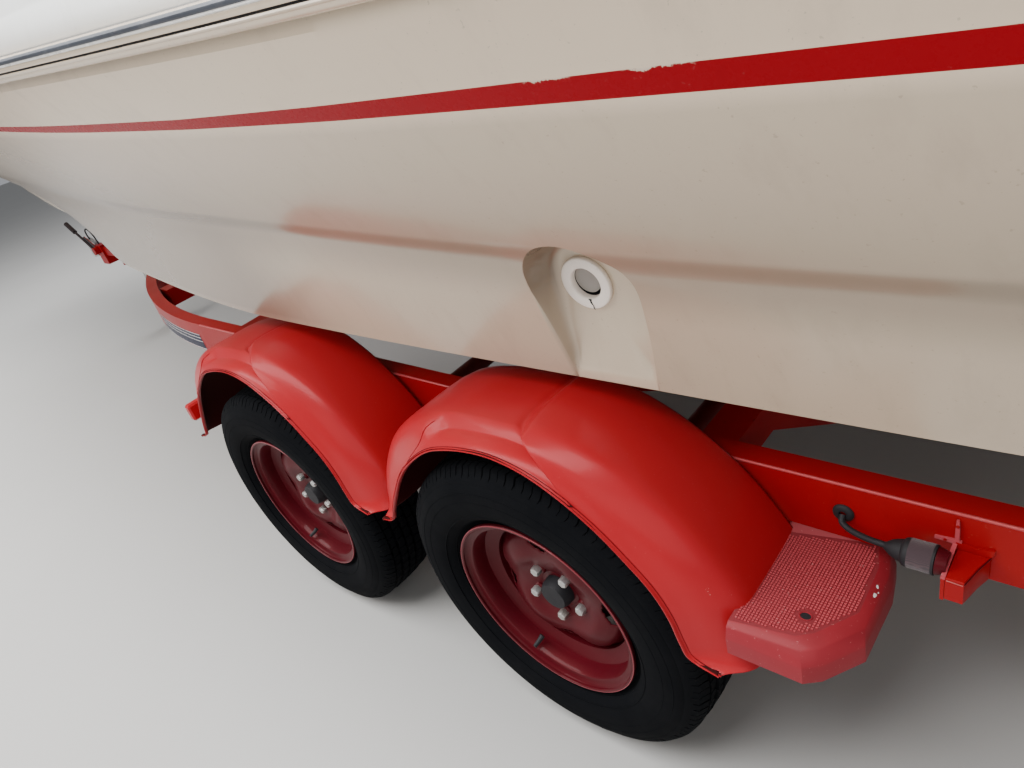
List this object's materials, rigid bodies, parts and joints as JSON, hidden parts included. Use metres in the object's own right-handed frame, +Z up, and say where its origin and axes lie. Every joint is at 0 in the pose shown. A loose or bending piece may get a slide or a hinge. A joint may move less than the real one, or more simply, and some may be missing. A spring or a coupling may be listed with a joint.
{
  "type": "cabin speedboat on tandem-axle trailer",
  "caption": "Slender cabin speedboat with raised foredeck, red waistline stripe and inboard shaft drive, lying nose up on its red tandem-axle road trailer",
  "frame": {"origin": "on the ground, under the middle of the overall box, on the boat's centre-line", "axes": "+X forward, stern to bow, level with the ground; +Y to port; +Z up"},
  "size_m": [8.0784, 2.2246, 2.3489],
  "materials": {
    "gelcoat_cream": "gloss gelcoat, scuffed",
    "gelcoat_white": "gloss moulded gelcoat",
    "rail_rubber": "matt, weathered",
    "tyre_rubber": "worn",
    "vinyl": "grained upholstery vinyl with piping",
    "tinted_glass": "clear tinted",
    "aluminium": "satin",
    "chrome": "polished",
    "outlet_plastic": "moulded",
    "lamp_red": "moulded lens",
    "dark_plastic": "grained",
    "bronze": "cast and ground",
    "rudder_bronze": "cast",
    "engine_iron": "painted",
    "red_frame": "gloss paint, chipped",
    "red_wheel": "gloss paint, dusty",
    "red_guard": "moulded, scuffed",
    "bunk_carpet": "short pile",
    "spring_steel": "painted, rust stained",
    "strap_web": "woven webbing",
    "zinc_steel": "zinc plated"
  },
  "bodies": {
    "root": {"axles": "spring_steel", "berth_cushion": "vinyl", "bow_rail": "aluminium", "brake_cable": "rail_rubber", "cabin_berth": "gelcoat_white", "cabin_bulkhead": "gelcoat_white", "cockpit_liner": "gelcoat_white", "cockpit_sole": "gelcoat_white", "coupling_head": "red_frame", "cross_members": "red_frame", "deck_moulding": "gelcoat_white", "drawbar": "red_frame", "engine_block": "engine_iron", "engine_box": "gelcoat_white", "frame_brackets": "red_frame", "helm_console": "gelcoat_white", "hull_bunks": "bunk_carpet", "hull_shell": "gelcoat_cream", "jockey_tube": "zinc_steel", "keel_rollers": "rail_rubber", "lamp_leads": "rail_rubber", "leaf_springs": "spring_steel", "mooring_fittings": "chrome", "mudguards": "red_guard", "navigation_lamps": "outlet_plastic", "overrun_gaiter": "rail_rubber", "overrun_housing": "red_frame", "rub_rail": "rail_rubber", "seat_bases": "gelcoat_white", "seat_cushions": "vinyl", "shaft_strut": "bronze", "side_beam_port": "red_frame", "side_beam_starboard": "red_frame", "side_outlets": "outlet_plastic", "steps": "red_guard", "trailer_lamps": "lamp_red", "winch_post": "red_frame", "winch_strap": "strap_web", "windows": "tinted_glass", "windscreen_frame": "aluminium"},
    "engine_lid": {"engine_lid": "gelcoat_white", "engine_lid_pad": "vinyl"},
    "foredeck_hatch": {"foredeck_hatch": "gelcoat_white"},
    "cabin_door": {"cabin_door": "gelcoat_white"},
    "steering_wheel": {"steering_wheel": "dark_plastic"},
    "propeller": {"propeller": "bronze"},
    "rudder": {"rudder": "rudder_bronze"},
    "jockey_leg": {"jockey_leg": "zinc_steel"},
    "jockey_fork": {"jockey_fork": "zinc_steel"},
    "jockey_wheel": {"jockey_wheel": "tyre_rubber"},
    "wheel_rear_left": {"road_wheel_rear_left": "red_wheel", "tyre_rear_left": "tyre_rubber"},
    "wheel_rear_right": {"road_wheel_rear_right": "red_wheel", "tyre_rear_right": "tyre_rubber"},
    "wheel_front_left": {"road_wheel_front_left": "red_wheel", "tyre_front_left": "tyre_rubber"},
    "wheel_front_right": {"road_wheel_front_right": "red_wheel", "tyre_front_right": "tyre_rubber"}
  },
  "joints": [
    {"name": "wheel_rear_left_spin", "type": "hinge", "parent": "root", "child": "wheel_rear_left", "pos_m": [-2.33539, 0.874, 0.325], "axis": [0, 1, 0], "continuous": true},
    {"name": "wheel_rear_right_spin", "type": "hinge", "parent": "root", "child": "wheel_rear_right", "pos_m": [-2.33539, -0.874, 0.325], "axis": [0, 1, 0], "continuous": true},
    {"name": "wheel_front_left_spin", "type": "hinge", "parent": "root", "child": "wheel_front_left", "pos_m": [-1.51539, 0.874, 0.325], "axis": [0, 1, 0], "continuous": true},
    {"name": "wheel_front_right_spin", "type": "hinge", "parent": "root", "child": "wheel_front_right", "pos_m": [-1.51539, -0.874, 0.325], "axis": [0, 1, 0], "continuous": true},
    {"name": "propeller_spin", "type": "hinge", "parent": "root", "child": "propeller", "pos_m": [-3.63448, 0, 0.27421], "axis": [0.9664, 0, 0.2571], "continuous": true},
    {"name": "rudder_turn", "type": "hinge", "parent": "root", "child": "rudder", "pos_m": [-3.83954, 0, 0.36896], "axis": [-0.0506, 0, 0.9987], "range_deg": [-35, 35]},
    {"name": "steering_turn", "type": "hinge", "parent": "root", "child": "steering_wheel", "pos_m": [-1.21202, -0.512, 1.43325], "axis": [-0.9159, 0, 0.4014], "range_deg": [-450, 450]},
    {"name": "engine_lid_lift", "type": "hinge", "parent": "root", "child": "engine_lid", "pos_m": [-1.88886, 0, 1.25478], "axis": [0, 1, 0], "range_deg": [0, 80]},
    {"name": "foredeck_hatch_lift", "type": "hinge", "parent": "root", "child": "foredeck_hatch", "pos_m": [1.18555, 0, 1.97687], "axis": [0, 1, 0], "range_deg": [0, 100]},
    {"name": "cabin_door_swing", "type": "hinge", "parent": "root", "child": "cabin_door", "pos_m": [-1.07959, 0.283, 1.28977], "axis": [0.0506, 0, -0.9987], "range_deg": [0, 95]},
    {"name": "jockey_raise", "type": "slide", "parent": "root", "child": "jockey_leg", "axis": [-0.0506, 0, 0.9987], "range_m": [0, 0.2]},
    {"name": "jockey_swivel", "type": "hinge", "parent": "jockey_leg", "child": "jockey_fork", "pos_m": [1.92555, -0.11, 0.21677], "axis": [-0.0506, 0, 0.9987], "continuous": true},
    {"name": "jockey_wheel_spin", "type": "hinge", "parent": "jockey_fork", "child": "jockey_wheel", "pos_m": [1.89341, -0.11, 0.1], "axis": [0, 1, 0], "continuous": true}
  ]
}
